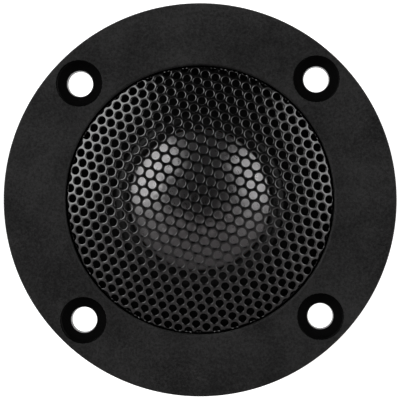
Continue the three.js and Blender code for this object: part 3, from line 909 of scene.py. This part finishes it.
def make_motor():
    """Yoke, magnet, pole plate and felt pad, with a vent through their middles."""
    low, high = extent("yoke")
    gap_radius, floor_z = 13.7, 9
    zinc = metal("zinc_plate", (0.58, 0.6, 0.62), 0.36, "round")
    yoke = turned("steel_yoke", fillet([
        (VENT_RADIUS, low.z, 0.2), (high.x, low.z, 1.0), (high.x, high.z, 0.2),
        (gap_radius, high.z, 0.2), (gap_radius, floor_z, 0.3), (VENT_RADIUS, floor_z, 0.1)]),
        160)
    finished(yoke, zinc, "yoke")
    nickel = metal("nickel_plate", (0.6, 0.58, 0.53), 0.2, depth=0.002)
    outline = ring_section("magnet", VENT_RADIUS, (0.25, 0.35, 0.35, 0.25))
    finished(turned("magnet_disc", outline, 144), nickel, "magnet")
    outline = ring_section("top_plate", VENT_RADIUS, (0.15, 0.2, 0.2, 0.15))
    finished(turned("pole_plate", outline, 144), zinc, "top_plate")

    # the pad is crowned, and its outer edge is pressed in a little
    low, high = extent("damping_pad")
    outline = fillet([
        (VENT_RADIUS, low.z, 0.05), (high.x - 0.1, low.z, 0.1), (high.x, low.z + 1, 0.6),
        (high.x - 0.25, high.z - 0.1, 0.5), (6.2, high.z, 4), (VENT_RADIUS, high.z - 0.15, 0.3)])
    pad = turned("felt_pad", dense(outline), 120, sharp=80)
    roughened(pad, 0.05, 0.9)
    finished(pad, felt_wool("felt_wool", 0.06), "damping_pad")


# -------- rear chamber

def rivet_hole(x, outside, inside, steps=32):
    """The tool for a rivet's hole, between two places along Y."""
    return along_y("hole", rod(RIVET_HOLE_RADIUS, outside, inside), x, steps, RIVET_Z)


def make_chamber():
    """The moulded cup, with an ear for each assembly screw and a flat seat for the board."""
    radius, bore, shoulder, step_z, floor_z = 20.9, 19.3, 17, 6, 1.6
    rim = extent("rear_chamber")[1].z
    cup = turned("cup", fillet([
        (0, 0, 0), (radius, 0, 0.8), (radius, rim, 0.2), (bore, rim, 0.2),
        (bore, step_z, 0.15), (shoulder, step_z, 0.3), (shoulder, floor_z, 0.5),
        (0, floor_z, 0)], closed=False), 200)
    ears = []
    ear_root, ear_radius, ear_low, ear_high = 20.1, BOSS_RADIUS, 10, 13
    outline = [(ear_root, -ear_radius)]
    outline += [(ASSEMBLY_CIRCLE / 2 + ear_radius * cos(t), ear_radius * sin(t))
                for t in np.linspace(-pi / 2, pi / 2, 25)]
    outline.append((ear_root, ear_radius))
    for angle in SCREW_ANGLES:
        a = radians(angle)
        ear = prism("ear", outline, ear_low, ear_high, lambda x, y, z, a=a: (
            x * cos(a) - y * sin(a), x * sin(a) + y * cos(a), z))
        ears.append(softened(ear, 0.2))
    seat = softened(block("seat", (-8.6, -21, 8.5), (8.6, -19.6, rim)), 0.2)
    join(cup, [*ears, seat])
    screw_hole = rod(1.2, ear_low - 1, ear_high + 1)
    tools = turned_at_screws(ASSEMBLY_CIRCLE, "hole", screw_hole, 32)
    tools += [rivet_hole(x, -22.5, -19.6, 24) for _, x, _ in TERMINALS]
    tools.append(turned("inside", rod(bore, step_z, rim + 1), 200))
    cut(cup, tools)
    cup.name = "chamber_cup"
    finished(cup, plastic("chamber_grain", 0.03, 0.42, 0.25, 0.014), "rear_chamber")


def make_foam_and_seal():
    """The absorbing disc in the cup and the soft ring between the cup and the faceplate."""
    low, high = extent("chamber_foam")
    outline = fillet([
        (0, low.z, 0), (high.x, low.z, 0.5), (high.x - 0.15, (low.z + high.z) / 2, 6),
        (high.x, high.z - 0.1, 0.7), (high.x * 0.6, high.z, 8), (0, high.z - 0.05, 0)],
        closed=False)
    outline = dense(outline, 0.8)[:-1] + [(0, low.z)]
    foam = turned("foam_disc", outline, 120, sharp=80)
    roughened(foam, 0.08, 1.4, 5)
    finished(foam, open_cell("absorbing_foam", 0.05, 0.7, 0.25), "chamber_foam")

    outline = ring_section("rear_seal", 19.5, (0.3, 0.3, 0.3, 0.3))
    finished(turned("seal_ring", outline, 200), rubber("seal_finish", 0.018, 0.65), "rear_seal")


def make_gasket():
    """Foam ring under the flange, uneven except on the side that is glued to it."""
    low, high = extent("flange_gasket")
    outline = dense(ring_section("flange_gasket", 27, (0.25, 0.25, 0.05, 0.05)), 0.7)
    piece = turned("foam_gasket", outline, 300, sharp=60)
    hole = rod(2.9, low.z - 1, high.z + 1)
    cut(piece, turned_at_screws(MOUNT_CIRCLE, "hole", hole, 48), 60)
    for v in piece.data.vertices:
        if v.co.z < (high.z - 0.02) * MM:
            v.co += noise.noise_vector(v.co / (1.1 * MM)) * 0.035 * MM
            v.co.z = max(v.co.z, low.z * MM)
    piece.data.update()
    finished(piece, open_cell("gasket_cells", 0.03, 0.35, 0.08), "flange_gasket")


# -------- screws

def make_screws():
    """Pan-head screws with a cross recess and a cut thread."""
    pitch, thread, core = 0.8, 0.85, 0.62
    head_low, head_high, head_radius, neck = 8.6, 10.0, 1.9, 0.75
    end = extent("assembly_screw_1")[1].z
    tip_low = end - 1.0
    zinc = metal("screw_zinc", (0.55, 0.57, 0.6), 0.3, depth=0.003)

    def ridge(r, z, a):
        """The radius of the thread at a point of the shank."""
        if abs(r - core) > 1e-6 or z > tip_low - 0.01:
            return r
        phase = (z / pitch - a / TAU) % 1
        return core + (thread - core) * max(0.0, 1 - abs(phase - 0.5) * 3.2)

    top = fillet([
        (0, head_low, 0), (1.55, head_low, 0.8), (head_radius, head_high - 0.55, 0.3),
        (head_radius, head_high, 0.12), (neck, head_high, 0.08),
        (neck, head_high + 0.25, 0)], closed=False, support=False)
    shank = []
    z = head_high + 0.3
    while z < tip_low:
        shank.append((core, z))
        z += pitch / 10
    tip = [(core, tip_low), (0.4, end - 0.35), (0.15, end - 0.05), (0, end)]
    half, width, deep = 1.05, 0.24, 0.95
    slot = [(-half, -width), (half, -width), (half, width), (-half, width)]
    for i, (x, y) in enumerate(screw_places(ASSEMBLY_CIRCLE)):
        screw = turned("screw", top + shank + tip, 40, ridge, sharp=38)
        recess = []
        for turn in (0, pi / 2):
            tool = prism("recess", slot, -0.2, deep, lambda x, y, z: (
                (x, y, z) if z < 0 else (x * 0.35, y * 0.8, z)))
            tool.data.transform(Matrix.Translation((0, 0, head_low * MM))
                                @ Matrix.Rotation(turn + 0.35 + i, 4, "Z"))
            recess.append(tool)
        cut(screw, recess, 38)
        screw.data.transform(Matrix.Translation((x * MM, y * MM, 0)))
        screw.name = f"screw_{i + 1}"
        finished(screw, zinc, f"assembly_screw_{i + 1}")


# -------- terminals

def make_board():
    low, high = extent("terminal_board")
    corner, half = 1.0, high.x
    corners = [(half, high.z, corner), (-half, high.z, corner), (-half, low.z, corner),
               (half, low.z, corner)]
    outline = fillet(corners, 15, support=False)
    board = prism("board", outline, low.y, high.y, lambda x, z, y: (x, y, z))
    softened(board, 0.08, 50)
    cut(board, [rivet_hole(x, -24, -20) for _, x, _ in TERMINALS])
    board.name = "board"
    finished(board, laminate(), "terminal_board")


def make_terminals():
    """Two bent brass blades with a dimple and tapered tips, each held by a rivet."""
    thick, chamfer, taper = 0.5, 0.09, 0.7
    brass = metal("strip_brass", (0.73, 0.61, 0.4), 0.28, "along", 0.03, 0.002, tarnish=0.09)
    rivet_brass = metal("rivet_brass", (0.7, 0.57, 0.34), 0.3, tarnish=0.1)
    for pole, x, width in TERMINALS:
        box_low, box_high = extent("terminal_" + pole)
        face_y, tip_z = box_low.y, box_low.z
        lug_y, lug_z = box_high.y, box_high.z - thick / 2
        line = fillet([(lug_y, lug_z, 0), (face_y + thick / 2, lug_z, 0.45),
                       (face_y + thick / 2, tip_z, 0)], 12, closed=False, support=False)
        down = line[:-1]
        down += [(face_y + thick / 2, tip_z + d) for d in (taper, 0.5, 0.3, 0.12, 0.0)]
        path, sections = [], []
        for i, (y, z) in enumerate(down):
            a = Vector(down[max(i - 1, 0)])
            b = Vector(down[min(i + 1, len(down) - 1)])
            way = (b - a).normalized()
            up = Vector((0, -way.y, way.x))
            left = max(0.0, taper - (z - tip_z)) if y < face_y + thick else 0.0
            w = width / 2 - left
            t = thick / 2 * (1 - 0.55 * left / taper)
            wi, ti = w - chamfer, t - chamfer
            sections.append([(w, -ti), (w, ti), (wi, t), (-wi, t), (-w, ti), (-w, -ti),
                             (-wi, -t), (wi, -t)])
            path.append(((x, y, z), (1, 0, 0), tuple(up)))
        blade = swept("blade_" + pole, path, sections, sharp=30)
        dimple = [(0, face_y - 0.5), (0.75, face_y - 0.2), (0.55, face_y + 0.14),
                  (0, face_y + 0.14)]
        cut(blade, [rivet_hole(x, -24, -21), along_y("dimple", dimple, x, 32, DIMPLE_Z)], 30)
        blade.name = "blade_" + pole
        finished(blade, brass, "terminal_" + pole)
        end_y, shank = -19.8, 0.6
        rivet = along_y("rivet", [
            (0, end_y), (shank, end_y), (shank, face_y), (1.15, face_y), (1.2, face_y - 0.06),
            (1.17, face_y - 0.18), (1.02, face_y - 0.32), (0.78, face_y - 0.42),
            (0.45, face_y - 0.48), (0, face_y - 0.5)], x, 40, RIVET_Z)
        shade(rivet, 35)
        rivet.name = "rivet_head_" + pole
        finished(rivet, rivet_brass, "rivet_" + pole)


# -------- studio

# the camera, in metres: a little to the right of the axis, aimed at the middle of the front
CAMERA_DISTANCE = 0.4
CAMERA_SIDE = 0.013
CAMERA_TARGET = (0.00008, -0.00004)
CAMERA_ROLL = radians(1.0)
FRAME_WIDTH = 0.07311
SENSOR_WIDTH = 36

# the sphere that the softboxes lie on and the step between their shells, in metres
STUDIO_RADIUS = 1.6
SHELL_STEP = 0.03
WHITE = (1, 1, 1)
# name, first and last azimuth, top and bottom lean, fade at each of these, strength, colour
SOFTBOXES = (
    ("left_box", (113, 196), (36, 89), (10, 30, 25, 1), 4.1, WHITE),
    ("left_spill", (150, 240), (36, 86), (20, 50, 12, 30), 0.6, WHITE),
    ("right_box", (-22, 61), (38, 89), (34, 21, 26, 1), 3.3, WHITE),
    ("right_spill", (-62, 30), (36, 86), (50, 20, 12, 30), 0.65, WHITE),
    ("front_fill", (178, 362), (12, 88), (26, 26, 18, 2), 0.325, (1, 0.94, 0.955)),
)
WORLD_LIGHT = 0.004

# the floor glows like paper on a light table, and close round the object its glow is dimmed: a
# painted contact shadow
FLOOR_RADIUS = 2800
FLOOR_TOP_Z = -0.02
FLOOR_LIGHT = 0.97
FLOOR_SHADE = 0.1
FLOOR_SHADE_RADII = (19, 28)


def make_camera():
    target = Vector((*CAMERA_TARGET, FRONT_Z * MM))
    place = Vector((CAMERA_SIDE, 0, FRONT_Z * MM + CAMERA_DISTANCE))
    data = bpy.data.cameras.new("camera")
    data.sensor_width = SENSOR_WIDTH
    data.lens = SENSOR_WIDTH * CAMERA_DISTANCE / FRAME_WIDTH
    data.clip_start, data.clip_end = 0.01, 20
    camera = bpy.data.objects.new("camera", data)
    bpy.context.scene.collection.objects.link(camera)
    back = (place - target).normalized()
    right = Vector((cos(CAMERA_ROLL), -sin(CAMERA_ROLL), 0))
    up = back.cross(right).normalized()
    right = up.cross(back)
    turn = Matrix((right, up, back)).transposed().to_4x4()
    camera.matrix_world = Matrix.Translation(place) @ turn
    bpy.context.scene.camera = camera


def glow(name, strength, colour=WHITE, attribute=None):
    """A material that only gives light. An attribute of the mesh scales its strength."""
    material = bpy.data.materials.new(name)
    material.use_nodes = True
    tree = material.node_tree
    tree.nodes.clear()
    new, link = tree.nodes.new, tree.links.new
    out = new("ShaderNodeOutputMaterial")
    emit = new("ShaderNodeEmission")
    emit.inputs["Color"].default_value = (*colour, 1)
    emit.inputs["Strength"].default_value = strength
    if attribute:
        read = new("ShaderNodeAttribute")
        read.attribute_name = attribute
        scale = new("ShaderNodeMath")
        scale.operation = "MULTIPLY"
        scale.inputs[1].default_value = strength
        link(read.outputs["Fac"], scale.inputs[0])
        link(scale.outputs[0], emit.inputs["Strength"])
        # clear as well as bright, so that a light behind another one adds to it
        both = new("ShaderNodeAddShader")
        link(emit.outputs[0], both.inputs[0])
        link(new("ShaderNodeBsdfTransparent").outputs[0], both.inputs[1])
        emit = both
    link(emit.outputs[0], out.inputs["Surface"])
    return material


def soft_light(shell, name, azimuths, leans, edge, strength, colour):
    """A softbox as a patch of a large sphere: azimuths from +X and leans from +Z, in degrees,
    whose edges fade over edge degrees at (first azimuth, last azimuth, top, bottom).
    Each has a shell of its own, so that no two lie in the same surface."""
    radius = (STUDIO_RADIUS + SHELL_STEP * shell) / MM
    across, down = 30, 20
    verts, faces, values = [], [], []
    for j in range(down + 1):
        lean = leans[0] + (leans[1] - leans[0]) * j / down
        for i in range(across + 1):
            azimuth = azimuths[0] + (azimuths[1] - azimuths[0]) * i / across
            a, b = radians(azimuth), radians(lean)
            verts.append((radius * sin(b) * cos(a), radius * sin(b) * sin(a), radius * cos(b)))
            values.append(ease(azimuth, azimuths[0], azimuths[0] + edge[0])
                          * ease(-azimuth, -azimuths[1], -azimuths[1] + edge[1])
                          * ease(lean, leans[0], leans[0] + edge[2])
                          * ease(-lean, -leans[1], -leans[1] + edge[3]))
    wide = across + 1
    for j in range(down):
        for i in range(across):
            a = j * wide + i
            faces.append([a, a + 1, a + 1 + wide, a + wide])
    patch = new_object(name, verts, faces, recalc=False)
    patch.data.attributes.new("glow", "FLOAT", "POINT").data.foreach_set("value", values)
    patch.data.materials.append(glow(name + "_light", strength, colour, "glow"))
    patch.visible_camera = False
    patch.visible_shadow = False


def make_lights():
    scene = bpy.context.scene
    scene.view_settings.view_transform = "Standard"
    scene.view_settings.look = "None"
    for shell, softbox in enumerate(SOFTBOXES):
        soft_light(shell, *softbox)
    world = bpy.data.worlds.new("studio")
    world.use_nodes = True
    background = world.node_tree.nodes["Background"]
    background.inputs["Color"].default_value = (*WHITE, 1)
    background.inputs["Strength"].default_value = WORLD_LIGHT
    scene.world = world


def make_floor():
    floor = turned("floor", rod(FLOOR_RADIUS, FLOOR_TOP_Z, -10), 64)
    n = Nodes("floor_white")
    distance, _, _ = n.radial()
    n.set(Base_Color=(0.6, 0.6, 0.6, 1), Roughness=0.9, Specular_IOR_Level=0.0)
    n.set(Emission_Color=(1, 1, 1, 1))
    # the glow falls to FLOOR_SHADE round the object's base: painted shade, not a cast shadow
    n.set(Emission_Strength=n.span(distance, FLOOR_SHADE, FLOOR_LIGHT,
                                   FLOOR_SHADE_RADII[0] * MM, FLOOR_SHADE_RADII[1] * MM))
    floor.data.materials.append(n.material)


def make_backdrop():
    """A white sphere round everything, which only the camera sees."""
    arc = [(FLOOR_RADIUS * sin(radians(a)), -FLOOR_RADIUS * cos(radians(a)))
           for a in range(6, 180, 6)]
    backdrop = turned("backdrop", [(0, -FLOOR_RADIUS), *arc, (0, FLOOR_RADIUS)], 48)
    backdrop.data.materials.append(glow("backdrop_white", 0.97))
    for rays in ("diffuse", "glossy", "transmission", "shadow"):
        setattr(backdrop, "visible_" + rays, False)


make_camera()
make_faceplate()
make_grille()
make_dome()
make_surround()
make_former()
make_coil()
make_ring()
for pole, x, _ in TERMINALS:
    make_lead(pole, x)
make_motor()
make_chamber()
make_foam_and_seal()
make_gasket()
make_screws()
make_board()
make_terminals()
make_lights()
make_floor()
make_backdrop()
